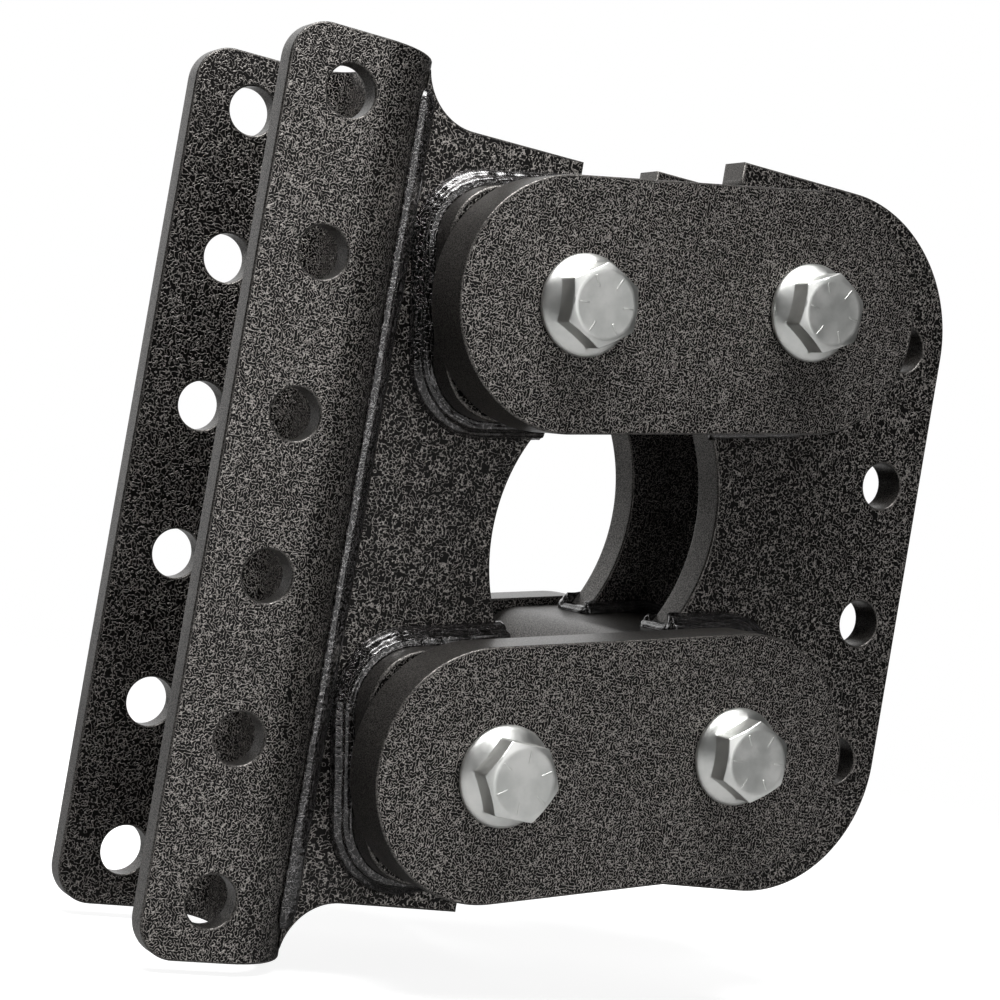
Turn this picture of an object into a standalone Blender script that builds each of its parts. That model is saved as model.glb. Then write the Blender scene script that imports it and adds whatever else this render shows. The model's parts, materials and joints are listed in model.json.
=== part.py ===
"""Torsion cushion hitch adapter: two welded frames joined by a parallel linkage.

The coupler frame is a bent channel with two side plates. The trailer frame is a pair of
side plates. Each frame carries an upper and a lower square tube, and each tube holds a
square core bar on four rubber cords. Four link plates are bolted to the ends of the core
bars, so the trailer frame rises and falls against the rubber and stays upright.

Frame: metres, +Z up along the channel, +X from the coupler to the trailer, -Y is the left
side of the trailer. The origin is the middle of the channel web's inner face.
"""

import math

import bmesh
import bpy
from mathutils import Matrix

INCH = 0.0254
GAP = 0.0003                         # clearance between pieces that touch or are welded

# Bolt holes: 5/8 inch bolts on a 2 inch pitch
HOLE_RADIUS = 0.657 / 2 * INCH
HOLE_PITCH = 2.0 * INCH
HOLE_SEGMENTS = 24

# Coupler channel
CHANNEL_HALF_WIDTH = 1.68 * INCH
CHANNEL_HEIGHT = 11.5 * INCH
CHANNEL_THICKNESS = 0.3125 * INCH
FLANGE_REACH = 1.94 * INCH           # web's inner face to the flanges' free edges
FLANGE_CORNER_RADIUS = 0.5 * INCH
BEND_OUTER_RADIUS = 1.0 * INCH
CHANNEL_HOLE_X = -1.07 * INCH
CHANNEL_HOLE_ROWS = 6

# Side plates of both frames
PLATE_THICKNESS = 0.5 * INCH
PLATE_OUTER_Y = 1.33 * INCH          # middle of the hitch to a plate's outer face
PLATE_HALF_HEIGHT = 4.98 * INCH
PLATE_OVERRUN = 0.465 * INCH         # plate beyond the tube axes, towards the other frame
PLATE_ROOT_X = 0.11 * INCH           # where a coupler plate's outer face meets the channel
ROOT_FILLET_RADIUS = 0.75 * INCH     # coupler plate to channel
ROOT_FILLET_START = 190.0            # degrees; the fillet stops short of a feather edge
WINDOW_RADIUS = 2.55 * INCH          # round cut in the edge that faces the other frame
WINDOW_EDGE_X = 0.05 * INCH          # deepest point of that cut, from the tube axes
TRAILER_PLATE_REACH = 3.5 * INCH     # tube axes to the trailer plates' outer edge
TRAILER_CORNER_RADIUS = 2.0 * INCH
TRAILER_HOLE_X = 2.81 * INCH         # tube axes to the trailer plates' holes
TRAILER_HOLE_ROWS = 4

# Linkage
PIVOT_X = 2.08 * INCH                # channel web to the coupler frame's tube axes
PIVOT_Z = 2.97 * INCH                # middle of a frame to its tube axes
LINK_PITCH = 3.5 * INCH
REST_TILT = math.radians(9.7)        # the unloaded links rise towards the trailer
LINK_HALF_WIDTH = 1.615 * INCH
LINK_ARC_PITCH = 3.8 * INCH          # between the centres of a link's round ends
LINK_THICKNESS = 0.75 * INCH
LINK_INNER_Y = 1.96 * INCH
POCKET_DEPTH = 0.25 * INCH           # square seat in a link for a core bar's end

# Torsion units
TUBE_HALF_WIDTH = 1.5 * INCH
TUBE_CORNER_RADIUS = 0.81 * INCH
TUBE_WALL = 0.25 * INCH
TUBE_LENGTH = 3.8 * INCH
CORE_HALF_WIDTH = 0.8 * INCH
CORE_CORNER_RADIUS = 0.06 * INCH
CORE_ANGLE = math.radians(45)        # the core bars stand cornerwise in their tubes
CORD_RADIUS = 0.355 * INCH
CORD_LENGTH = 3.6 * INCH

# Hex flange bolts, 5/8 inch
SHANK_RADIUS = 0.3125 * INCH
SHANK_LENGTH = 2.0 * INCH
SHANK_POINT = 0.08 * INCH            # chamfer at the shank's end
BOLT_HOLE_DEPTH = 1.6 * INCH         # tapped depth from a core bar's end
HEX_HALF_FLATS = 0.46875 * INCH
HEAD_HEIGHT = 0.52 * INCH
FLANGE_RADIUS = 0.647 * INCH
FLANGE_RIM = 0.07 * INCH             # thickness of the flange at its edge
FLANGE_CONE_HEIGHT = 0.17 * INCH
FLANGE_CONE_RADIUS = 0.53 * INCH
HEX_TOP_RADIUS = 0.445 * INCH
HEX_CHAMFER = 0.05 * INCH            # how far the head's corners are turned down
HEX_CHAMFER_RUN = 0.1 * INCH
BOLT_SEGMENTS = 24

ARC_STEPS = 8                        # steps in a quarter turn of a small radius
BEND_STEPS = 14                      # steps in a bend of the channel
WIDE_ARC_STEPS = 20                  # steps in a link's end or in a window
CUTTER_OVERRUN = 0.5 * INCH          # how far a cutter runs past what it cuts
SMOOTH_ANGLE = math.radians(35)
TO_MINUS_Y = Matrix.Rotation(math.pi / 2, 4, "X")    # turns +Z to -Y, and +Y to +Z

MATERIALS = {
    "powder_coat": ((0.115, 0.105, 0.098), 0.55, 0.35),
    "zinc_plate": ((0.70, 0.70, 0.70), 0.34, 0.9),
    "bare_steel": ((0.30, 0.30, 0.31), 0.45, 0.9),
    "cord_rubber": ((0.018, 0.018, 0.018), 0.8, 0.0),
}


# ---------------------------------------------------------------- scene and object helpers

def clear_scene():
    for obj in list(bpy.data.objects):
        bpy.data.objects.remove(obj, do_unlink=True)


def new_collection(name):
    collection = bpy.data.collections.new(name)
    bpy.context.scene.collection.children.link(collection)
    return collection


def make_material(name):
    color, roughness, metallic = MATERIALS[name]
    material = bpy.data.materials.new(name)
    material.use_nodes = True
    shader = material.node_tree.nodes["Principled BSDF"]
    shader.inputs["Base Color"].default_value = (*color, 1.0)
    shader.inputs["Roughness"].default_value = roughness
    shader.inputs["Metallic"].default_value = metallic
    return material


def pivot_empty(name, x, z):
    """An empty on a joint's axis, which the body's pieces are parented to."""
    empty = bpy.data.objects.new(name, None)
    empty.location = (x, 0.0, z)
    parts.objects.link(empty)
    return empty


def add_part(name, mesh, material, location=(0.0, 0.0, 0.0), tilt=0.0, parent=None):
    """A visible piece; tilt turns it about Y, so that its X axis points upwards."""
    obj = bpy.data.objects.new(name, mesh)
    obj.location = location
    obj.rotation_euler = (0.0, -tilt, 0.0)
    obj.parent = parent
    if not mesh.materials:
        mesh.materials.append(materials[material])
    parts.objects.link(obj)
    return obj


def add_cutter(name, mesh, location=(0.0, 0.0, 0.0), tilt=0.0, parent=None):
    obj = bpy.data.objects.new(name, mesh)
    obj.location = location
    obj.rotation_euler = (0.0, -tilt, 0.0)
    obj.parent = parent
    obj.hide_render = True
    obj.display_type = "WIRE"
    cutters.objects.link(obj)
    return obj


def cut(target, cutter, operation="DIFFERENCE"):
    modifier = target.modifiers.new(cutter.name, "BOOLEAN")
    modifier.object = cutter
    modifier.operation = operation
    modifier.solver = "EXACT"


def smooth(mesh):
    mesh.shade_smooth()
    mesh.set_sharp_from_angle(angle=SMOOTH_ANGLE)
    return mesh


# ------------------------------------------------------------------------ mesh builders

def arc(center, radius, start, end, steps):
    """Points along an arc, its two ends included; the angles are in degrees."""
    points = []
    for step in range(steps + 1):
        angle = math.radians(start + (end - start) * step / steps)
        points.append((center[0] + radius * math.cos(angle), center[1] + radius * math.sin(angle)))
    return points


def prism(outlines, depth):
    """A closed solid: outlines in the XZ plane, extruded along Y by depth, centred on Y = 0.

    Outlines after the first are holes. The outlines are drawn as one filled 2D curve.
    """
    curve = bpy.data.curves.new("outline", "CURVE")
    curve.dimensions = "2D"
    curve.fill_mode = "BOTH"
    curve.extrude = depth / 2
    for outline in outlines:
        spline = curve.splines.new("POLY")
        spline.points.add(len(outline) - 1)
        for point, (x, z) in zip(spline.points, outline):
            point.co = (x, z, 0.0, 1.0)
        spline.use_cyclic_u = True
    guide = bpy.data.objects.new("outline", curve)
    bpy.context.scene.collection.objects.link(guide)
    bpy.context.view_layer.update()
    evaluated = guide.evaluated_get(bpy.context.evaluated_depsgraph_get())
    mesh = bpy.data.meshes.new_from_object(evaluated)
    bpy.data.objects.remove(guide, do_unlink=True)
    bpy.data.curves.remove(curve)
    weld = bmesh.new()
    weld.from_mesh(mesh)
    bmesh.ops.remove_doubles(weld, verts=weld.verts, dist=1e-6)
    bmesh.ops.recalc_face_normals(weld, faces=weld.faces)
    weld.to_mesh(mesh)
    weld.free()
    mesh.transform(TO_MINUS_Y)
    return smooth(mesh)


def cylinders(radius, length, centers, segments=HOLE_SEGMENTS):
    """Closed cylinders along Y in one mesh, one at each (x, y, z) of centers."""
    work = bmesh.new()
    for center in centers:
        matrix = Matrix.Translation(center) @ TO_MINUS_Y
        bmesh.ops.create_cone(work, cap_ends=True, segments=segments, radius1=radius,
                              radius2=radius, depth=length, matrix=matrix)
    mesh = bpy.data.meshes.new("cylinders")
    work.to_mesh(mesh)
    work.free()
    return smooth(mesh)


def rounded_square(half_width, radius):
    straight = half_width - radius
    outline = []
    for quarter, (side_x, side_z) in enumerate(((1, 1), (-1, 1), (-1, -1), (1, -1))):
        center = (side_x * straight, side_z * straight)
        outline += arc(center, radius, 90 * quarter, 90 * (quarter + 1), ARC_STEPS)
    return outline


def hexagon(half_flats, bottom, top):
    """A hexagonal prism along Z with two of its flats facing along X."""
    corner_radius = half_flats / math.cos(math.pi / 6)
    work = bmesh.new()
    matrix = (Matrix.Translation((0.0, 0.0, (bottom + top) / 2))
              @ Matrix.Rotation(math.pi / 6, 4, "Z"))
    bmesh.ops.create_cone(work, cap_ends=True, segments=6, radius1=corner_radius,
                          radius2=corner_radius, depth=top - bottom, matrix=matrix)
    mesh = bpy.data.meshes.new("hexagon")
    work.to_mesh(mesh)
    work.free()
    return mesh


def turned(profile):
    """A solid of revolution about Z. The profile holds (radius, z) from its top down."""
    mesh = bpy.data.meshes.new("profile")
    points = [(radius, 0.0, z) for radius, z in profile]
    edges = [(number, number + 1) for number in range(len(points) - 1)]
    mesh.from_pydata(points, edges, [])
    guide = bpy.data.objects.new("profile", mesh)
    bpy.context.scene.collection.objects.link(guide)
    screw = guide.modifiers.new("turn", "SCREW")
    screw.steps = BOLT_SEGMENTS
    screw.render_steps = BOLT_SEGMENTS
    screw.use_merge_vertices = True
    screw.merge_threshold = 1e-6
    bpy.context.view_layer.update()
    evaluated = guide.evaluated_get(bpy.context.evaluated_depsgraph_get())
    result = bpy.data.meshes.new_from_object(evaluated)
    bpy.data.objects.remove(guide, do_unlink=True)
    return result


# ------------------------------------------------------------------------ coupler frame

def channel_section():
    """The channel's U section, in plan, a little longer than the finished flanges."""
    web_x = CHANNEL_THICKNESS
    outer_y = CHANNEL_HALF_WIDTH
    inner_y = outer_y - CHANNEL_THICKNESS
    free_x = -FLANGE_REACH - CUTTER_OVERRUN
    inner_radius = BEND_OUTER_RADIUS - CHANNEL_THICKNESS
    bend_x = web_x - BEND_OUTER_RADIUS
    bend_y = outer_y - BEND_OUTER_RADIUS
    outline = [(free_x, -outer_y)]
    outline += arc((bend_x, -bend_y), BEND_OUTER_RADIUS, -90, 0, BEND_STEPS)
    outline += arc((bend_x, bend_y), BEND_OUTER_RADIUS, 0, 90, BEND_STEPS)
    outline += [(free_x, outer_y), (free_x, inner_y)]
    outline += arc((bend_x, bend_y), inner_radius, 90, 0, BEND_STEPS)
    outline += arc((bend_x, -bend_y), inner_radius, 0, -90, BEND_STEPS)
    outline += [(free_x, -inner_y)]
    return outline


def channel_outside():
    """The channel's outside in plan, with the clearance that the coupler plates keep."""
    outer_y = CHANNEL_HALF_WIDTH + GAP
    bend_x = CHANNEL_THICKNESS - BEND_OUTER_RADIUS
    bend_y = CHANNEL_HALF_WIDTH - BEND_OUTER_RADIUS
    outline = [(-FLANGE_REACH, -outer_y)]
    outline += arc((bend_x, -bend_y), BEND_OUTER_RADIUS + GAP, -90, 0, BEND_STEPS)
    outline += arc((bend_x, bend_y), BEND_OUTER_RADIUS + GAP, 0, 90, BEND_STEPS)
    outline += [(-FLANGE_REACH, outer_y)]
    return outline


def channel_side():
    """The channel seen from the side: its flanges have rounded free corners."""
    top = CHANNEL_HEIGHT / 2
    back_x = CHANNEL_THICKNESS + CUTTER_OVERRUN
    corner_x = -FLANGE_REACH + FLANGE_CORNER_RADIUS
    corner_z = top - FLANGE_CORNER_RADIUS
    outline = [(back_x, -top), (back_x, top)]
    outline += arc((corner_x, corner_z), FLANGE_CORNER_RADIUS, 90, 180, ARC_STEPS)
    outline += arc((corner_x, -corner_z), FLANGE_CORNER_RADIUS, 180, 270, ARC_STEPS)
    return outline


def hole_column(rows):
    return [(row - (rows - 1) / 2) * HOLE_PITCH for row in range(rows)]


def make_channel():
    blank = prism([channel_section()], CHANNEL_HEIGHT + 2 * CUTTER_OVERRUN)
    blank.transform(TO_MINUS_Y.inverted())
    channel = add_part("coupler_channel", blank, "powder_coat")
    full_width = 2 * (CHANNEL_HALF_WIDTH + CUTTER_OVERRUN)
    cut(channel, add_cutter("channel_side", prism([channel_side()], full_width)), "INTERSECT")
    centers = [(CHANNEL_HOLE_X, 0.0, z) for z in hole_column(CHANNEL_HOLE_ROWS)]
    cut(channel, add_cutter("channel_holes", cylinders(HOLE_RADIUS, full_width, centers)))


def window_angle(end_x, center_x):
    """Angle, in degrees, at which the window's circle passes a plate's end."""
    return math.degrees(math.acos(abs(end_x - center_x) / WINDOW_RADIUS))


def coupler_plate_outline():
    """A coupler plate from the side, its edge at the channel not yet cut to the bend."""
    end_x = PIVOT_X + PLATE_OVERRUN
    window_x = PIVOT_X + WINDOW_EDGE_X + WINDOW_RADIUS
    half_angle = window_angle(end_x, window_x)
    fillet_z = PLATE_HALF_HEIGHT + ROOT_FILLET_RADIUS
    fillet_x = PLATE_ROOT_X + ROOT_FILLET_RADIUS
    upper_fillet = arc((fillet_x, fillet_z), ROOT_FILLET_RADIUS, ROOT_FILLET_START, 270,
                       ARC_STEPS)
    root_z = upper_fillet[0][1]
    outline = [(0.0, -root_z), (0.0, root_z)]
    outline += upper_fillet
    outline += [(end_x, PLATE_HALF_HEIGHT)]
    outline += arc((window_x, 0.0), WINDOW_RADIUS, 180 - half_angle, 180 + half_angle,
                   WIDE_ARC_STEPS)
    outline += [(end_x, -PLATE_HALF_HEIGHT)]
    outline += arc((fillet_x, -fillet_z), ROOT_FILLET_RADIUS, 90, 360 - ROOT_FILLET_START,
                   ARC_STEPS)
    return outline


def trailer_plate_outline():
    """Drawn from the middle of the trailer frame's tube axes."""
    end_x = -PLATE_OVERRUN
    window_x = WINDOW_EDGE_X - WINDOW_RADIUS
    half_angle = window_angle(end_x, window_x)
    corner_x = TRAILER_PLATE_REACH - TRAILER_CORNER_RADIUS
    corner_z = PLATE_HALF_HEIGHT - TRAILER_CORNER_RADIUS
    outline = [(end_x, -PLATE_HALF_HEIGHT)]
    outline += arc((corner_x, -corner_z), TRAILER_CORNER_RADIUS, -90, 0, 2 * ARC_STEPS)
    outline += arc((corner_x, corner_z), TRAILER_CORNER_RADIUS, 0, 90, 2 * ARC_STEPS)
    outline += [(end_x, PLATE_HALF_HEIGHT)]
    outline += arc((window_x, 0.0), WINDOW_RADIUS, half_angle, -half_angle, WIDE_ARC_STEPS)
    return outline


def notch_for_tubes(plate, x, parent):
    """Cut the plate to the outside of the frame's two tubes."""
    outline = rounded_square(TUBE_HALF_WIDTH + GAP, TUBE_CORNER_RADIUS + GAP)
    for level, z in LEVELS.items():
        mesh = prism([outline], PLATE_THICKNESS + CUTTER_OVERRUN)
        notch = add_cutter(f"{plate.name}_{level}_notch", mesh, (x, plate.location.y, z),
                           REST_TILT, parent)
        cut(plate, notch)


def make_plates(kind, outline, x, parent):
    for side, sign in SIDES.items():
        y = sign * (PLATE_OUTER_Y - PLATE_THICKNESS / 2)
        plate = add_part(f"{kind}_plate_{side}", prism([outline], PLATE_THICKNESS),
                         "powder_coat", (0.0, y, 0.0), 0.0, parent)
        notch_for_tubes(plate, x, parent)
        if kind == "coupler":
            root = prism([channel_outside()], CHANNEL_HEIGHT + CUTTER_OVERRUN)
            root.transform(TO_MINUS_Y.inverted())
            cut(plate, add_cutter(f"{plate.name}_root", root, parent=parent))
        if kind == "trailer":
            centers = [(TRAILER_HOLE_X, y, z) for z in hole_column(TRAILER_HOLE_ROWS)]
            mesh = cylinders(HOLE_RADIUS, PLATE_THICKNESS + CUTTER_OVERRUN, centers)
            cut(plate, add_cutter(f"{plate.name}_holes", mesh, parent=parent))


# ------------------------------------------------------------------------ torsion units

def make_tubes(kind, x, parent):
    outer = rounded_square(TUBE_HALF_WIDTH, TUBE_CORNER_RADIUS)
    inner = rounded_square(TUBE_HALF_WIDTH - TUBE_WALL, TUBE_CORNER_RADIUS - TUBE_WALL)
    for level, z in LEVELS.items():
        mesh = prism([outer, inner], TUBE_LENGTH)
        add_part(f"{kind}_tube_{level}", mesh, "powder_coat", (x, 0.0, z), REST_TILT, parent)


def make_cords(kind, x, parent):
    """Four rubber cords in the corners of each tube, against the flats of the core bar."""
    mesh = cylinders(CORD_RADIUS, CORD_LENGTH, [(0.0, 0.0, 0.0)], segments=16)
    reach = CORE_HALF_WIDTH + CORD_RADIUS + 2 * GAP
    for level, z in LEVELS.items():
        for corner in range(4):
            angle = REST_TILT + CORE_ANGLE + corner * math.pi / 2
            location = (x + reach * math.cos(angle), 0.0, z + reach * math.sin(angle))
            add_part(f"rubber_cord_{kind}_{level}_{corner + 1}", mesh, "cord_rubber",
                     location, REST_TILT, parent)


def core_mesh():
    """A core bar with a bolt hole in each end, cut once and shared by all four bars."""
    length = 2 * (LINK_INNER_Y + POCKET_DEPTH - GAP)
    blank = prism([rounded_square(CORE_HALF_WIDTH, CORE_CORNER_RADIUS)], length)
    ends = [(0.0, sign * length / 2, 0.0) for sign in SIDES.values()]
    holes = cylinders(SHANK_RADIUS + GAP, 2 * BOLT_HOLE_DEPTH, ends)
    return baked("core_bar", blank, [(holes, "DIFFERENCE")])


def baked(name, mesh, operations):
    """Apply Boolean operations to a mesh and return the result as a new mesh."""
    work = bpy.data.objects.new(name, mesh)
    bpy.context.scene.collection.objects.link(work)
    helpers = []
    for number, (other, operation) in enumerate(operations):
        helper = add_cutter(f"{name}_tool_{number}", other)
        helpers.append(helper)
        cut(work, helper, operation)
    bpy.context.view_layer.update()
    evaluated = work.evaluated_get(bpy.context.evaluated_depsgraph_get())
    result = bpy.data.meshes.new_from_object(evaluated)
    for obj in [work] + helpers:
        bpy.data.objects.remove(obj, do_unlink=True)
    result.name = name
    return smooth(result)


# ------------------------------------------------------------------------ linkage

def link_mesh(sign):
    """A link in its own frame: X from the coupler pivot to the trailer pivot, Y from its middle."""
    overhang = (LINK_ARC_PITCH - LINK_PITCH) / 2
    outline = arc((-overhang, 0.0), LINK_HALF_WIDTH, 90, 270, WIDE_ARC_STEPS)
    outline += arc((LINK_PITCH + overhang, 0.0), LINK_HALF_WIDTH, -90, 90, WIDE_ARC_STEPS)
    pivots = [(0.0, 0.0, 0.0), (LINK_PITCH, 0.0, 0.0)]
    holes = cylinders(HOLE_RADIUS, LINK_THICKNESS + CUTTER_OVERRUN, pivots)
    operations = [(holes, "DIFFERENCE")]
    seat = rounded_square(CORE_HALF_WIDTH + GAP, CORE_CORNER_RADIUS + GAP)
    for x, _, _ in pivots:
        pocket = prism([seat], 2 * POCKET_DEPTH)
        pocket.transform(Matrix.Translation((x, -sign * LINK_THICKNESS / 2, 0.0))
                         @ Matrix.Rotation(CORE_ANGLE, 4, "Y"))
        operations.append((pocket, "DIFFERENCE"))
    return baked("link", prism([outline], LINK_THICKNESS), operations)


def bolt_mesh():
    """A hex flange bolt along Y: its flange sits on Y = 0 and its head stands out to -Y."""
    body = turned([(0.0, FLANGE_CONE_HEIGHT), (FLANGE_CONE_RADIUS, FLANGE_CONE_HEIGHT),
                   (FLANGE_RADIUS, FLANGE_RIM), (FLANGE_RADIUS, 0.0), (SHANK_RADIUS, 0.0),
                   (SHANK_RADIUS, SHANK_POINT - SHANK_LENGTH),
                   (SHANK_RADIUS - SHANK_POINT, -SHANK_LENGTH), (0.0, -SHANK_LENGTH)])
    head = hexagon(HEX_HALF_FLATS, FLANGE_RIM / 2, HEAD_HEIGHT + HEX_CHAMFER)
    chamfer_radius = HEX_TOP_RADIUS + HEX_CHAMFER_RUN
    chamfer = turned([(0.0, HEAD_HEIGHT), (HEX_TOP_RADIUS, HEAD_HEIGHT),
                      (chamfer_radius, HEAD_HEIGHT - HEX_CHAMFER),
                      (chamfer_radius, FLANGE_RIM / 4), (0.0, FLANGE_RIM / 4)])
    chamfered_head = baked("bolt_head", head, [(chamfer, "INTERSECT")])
    bolt = baked("flange_bolt", body, [(chamfered_head, "UNION")])
    bolt.transform(TO_MINUS_Y)
    return bolt


def make_link_set(level, parent):
    """Two links, two core bars and four bolts: one rigid set that turns on the coupler tubes."""
    for side, sign in SIDES.items():
        y = sign * (LINK_INNER_Y + LINK_THICKNESS / 2)
        add_part(f"link_{level}_{side}", link_meshes[side], "powder_coat", (0.0, y, 0.0),
                 REST_TILT, parent)
    rise = (LINK_PITCH * math.cos(REST_TILT), LINK_PITCH * math.sin(REST_TILT))
    for kind, (x, z) in {"coupler": (0.0, 0.0), "trailer": rise}.items():
        add_part(f"core_bar_{kind}_{level}", shared_core, "bare_steel", (x, 0.0, z),
                 REST_TILT + CORE_ANGLE, parent)
        for side, sign in SIDES.items():
            outer_y = sign * (LINK_INNER_Y + LINK_THICKNESS + GAP)
            bolt = add_part(f"bolt_{kind}_{level}_{side}", shared_bolt, "zinc_plate",
                            (x, outer_y, z), BOLT_TURNS[kind, level], parent)
            if sign > 0:
                bolt.rotation_euler.z = math.pi


# ------------------------------------------------------------------------ assembly

SIDES = {"left": -1, "right": 1}
LEVELS = {"upper": PIVOT_Z, "lower": -PIVOT_Z}
# How far each bolt's hexagon happens to be turned
BOLT_TURNS = {
    ("coupler", "upper"): math.radians(3), ("trailer", "upper"): math.radians(-4),
    ("coupler", "lower"): math.radians(26), ("trailer", "lower"): math.radians(2),
}

clear_scene()
parts = new_collection("torsion_hitch_adapter")
cutters = new_collection("cutters")
materials = {name: make_material(name) for name in MATERIALS}
link_meshes = {side: link_mesh(sign) for side, sign in SIDES.items()}
shared_core = core_mesh()
shared_bolt = bolt_mesh()

make_channel()
make_plates("coupler", coupler_plate_outline(), PIVOT_X, None)
make_tubes("coupler", PIVOT_X, None)
make_cords("coupler", PIVOT_X, None)

for link_level, pivot_z in LEVELS.items():
    make_link_set(link_level, pivot_empty(f"{link_level}_link_axis", PIVOT_X, pivot_z))

trailer_axis = pivot_empty("trailer_frame_axis", PIVOT_X + LINK_PITCH * math.cos(REST_TILT),
                           LINK_PITCH * math.sin(REST_TILT))
make_plates("trailer", trailer_plate_outline(), 0.0, trailer_axis)
make_tubes("trailer", 0.0, trailer_axis)
make_cords("trailer", 0.0, trailer_axis)
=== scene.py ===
"""The looks of the torsion cushion hitch adapter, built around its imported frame.

Painted steel pieces stand for the plain CAD nodes with rounded edges, the welds are swept
beads, and the bolts are turned in fine steps. Metres, in the frame's own axes.
"""

import json
import math

import bmesh
import bpy
from mathutils import Matrix, Vector, noise
from mathutils.geometry import tessellate_polygon


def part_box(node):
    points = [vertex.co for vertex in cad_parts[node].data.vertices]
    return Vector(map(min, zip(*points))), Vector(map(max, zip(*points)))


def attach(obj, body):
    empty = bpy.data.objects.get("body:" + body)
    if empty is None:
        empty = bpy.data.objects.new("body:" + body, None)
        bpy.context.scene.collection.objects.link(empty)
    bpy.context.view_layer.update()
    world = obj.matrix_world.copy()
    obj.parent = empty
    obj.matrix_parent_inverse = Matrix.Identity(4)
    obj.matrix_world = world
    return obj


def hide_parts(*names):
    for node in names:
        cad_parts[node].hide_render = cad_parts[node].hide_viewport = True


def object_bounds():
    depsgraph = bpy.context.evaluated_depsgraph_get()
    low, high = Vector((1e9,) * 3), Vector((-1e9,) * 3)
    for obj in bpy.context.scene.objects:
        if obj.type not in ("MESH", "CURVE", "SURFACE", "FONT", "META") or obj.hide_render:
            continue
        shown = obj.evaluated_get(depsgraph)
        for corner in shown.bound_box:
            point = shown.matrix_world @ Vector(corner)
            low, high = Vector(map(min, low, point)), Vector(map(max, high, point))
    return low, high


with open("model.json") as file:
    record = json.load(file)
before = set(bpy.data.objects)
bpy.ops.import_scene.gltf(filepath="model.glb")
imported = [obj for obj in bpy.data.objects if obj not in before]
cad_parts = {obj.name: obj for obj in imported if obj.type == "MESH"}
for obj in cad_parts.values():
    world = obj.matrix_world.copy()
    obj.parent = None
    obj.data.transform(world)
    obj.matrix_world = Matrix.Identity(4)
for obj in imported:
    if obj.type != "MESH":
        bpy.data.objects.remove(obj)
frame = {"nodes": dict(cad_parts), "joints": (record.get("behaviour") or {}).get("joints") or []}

CAD_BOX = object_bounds()

MM = 0.001
INCH = 0.0254
SIDES = {"left": -1, "right": 1}
LEVELS = ("upper", "lower")
KINDS = ("coupler", "trailer")

# ------------------------------------------------------------ places, read from the frame

JOINTS = {joint["name"]: joint for joint in frame["joints"]}
PIVOTS = {
    ("coupler", "upper"): Vector(JOINTS["upper_link_hinge"]["pos_m"]),
    ("coupler", "lower"): Vector(JOINTS["lower_link_hinge"]["pos_m"]),
    ("trailer", "upper"): Vector(JOINTS["trailer_frame_hinge"]["pos_m"]),
}
LINK_STEP = PIVOTS["trailer", "upper"] - PIVOTS["coupler", "upper"]
PIVOTS["trailer", "lower"] = PIVOTS["coupler", "lower"] + LINK_STEP
LINK_PITCH = LINK_STEP.length
TILT = math.atan2(LINK_STEP.z, LINK_STEP.x)

CHANNEL_LOW, CHANNEL_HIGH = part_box("coupler_channel")
WEB_OUTER_X = CHANNEL_HIGH.x
FLANGE_END_X = CHANNEL_LOW.x
CHANNEL_HALF_WIDTH = CHANNEL_HIGH.y
CHANNEL_HALF_HEIGHT = CHANNEL_HIGH.z
PLATE_OUTER_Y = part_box("trailer_plate_right")[1].y
PLATE_THICKNESS = PLATE_OUTER_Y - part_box("trailer_plate_right")[0].y
TRAILER_PLATE_LOW, TRAILER_PLATE_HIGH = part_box("trailer_plate_left")
PLATE_HALF_HEIGHT = (TRAILER_PLATE_HIGH.z - TRAILER_PLATE_LOW.z) / 2
COUPLER_PLATE_END_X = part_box("coupler_plate_left")[1].x
TUBE_HALF_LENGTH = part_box("coupler_tube_upper")[1].y
LINK_INNER_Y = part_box("link_upper_right")[0].y
LINK_OUTER_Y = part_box("link_upper_right")[1].y
BOLT_TOP_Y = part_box("bolt_coupler_upper_right")[1].y

# ------------------------------------------------------------ sizes that the boxes don't give

GAP = 0.3 * MM
HOLE_RADIUS = 0.657 / 2 * INCH
HOLE_PITCH = 2.0 * INCH
CHANNEL_THICKNESS = 0.3125 * INCH
CHANNEL_HOLE_X = -1.07 * INCH
CHANNEL_HOLE_ROWS = 6
FLANGE_CORNER_RADIUS = 0.5 * INCH
BEND_OUTER_RADIUS = 1.0 * INCH
PLATE_ROOT_X = 0.11 * INCH
ROOT_FILLET_RADIUS = 0.75 * INCH
ROOT_FILLET_START = 190.0            # degrees
WINDOW_RADIUS = 2.55 * INCH
WINDOW_EDGE_X = 0.05 * INCH
PLATE_OVERRUN = 0.465 * INCH
TRAILER_CORNER_RADIUS = 2.0 * INCH
TRAILER_HOLE_X = 2.81 * INCH
TRAILER_HOLE_ROWS = 4
LINK_HALF_WIDTH = 1.615 * INCH
LINK_ARC_PITCH = 3.8 * INCH
POCKET_DEPTH = 0.25 * INCH
TUBE_HALF_WIDTH = 1.5 * INCH
TUBE_CORNER_RADIUS = 0.81 * INCH
TUBE_WALL = 0.25 * INCH
CORE_HALF_WIDTH = 0.8 * INCH
CORE_CORNER_RADIUS = 0.06 * INCH
SHANK_RADIUS = 0.3125 * INCH
HEX_HALF_FLATS = 0.46875 * INCH
FLANGE_RADIUS = 0.647 * INCH
FLANGE_RIM = 0.07 * INCH
SHANK_LENGTH = 2.0 * INCH

EDGE_RADIUS = 0.7 * MM               # rounding of cut and painted edges
EDGE_STEPS = 4
POINT_SPACING = 1.1 * MM             # along arcs
LEAST_SPACING = 0.05 * MM
TUBE_EDGE_RADIUS = 1.0 * MM
SEAT_EDGE_RADIUS = 0.2 * MM
PLATE_SIDE_LAYERS = 8                # rows of faces up a plate's sides, which follow the bend
BEND_STEPS = 12                      # steps in a bend of the channel


# ------------------------------------------------------------ outlines in the XZ plane

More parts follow.
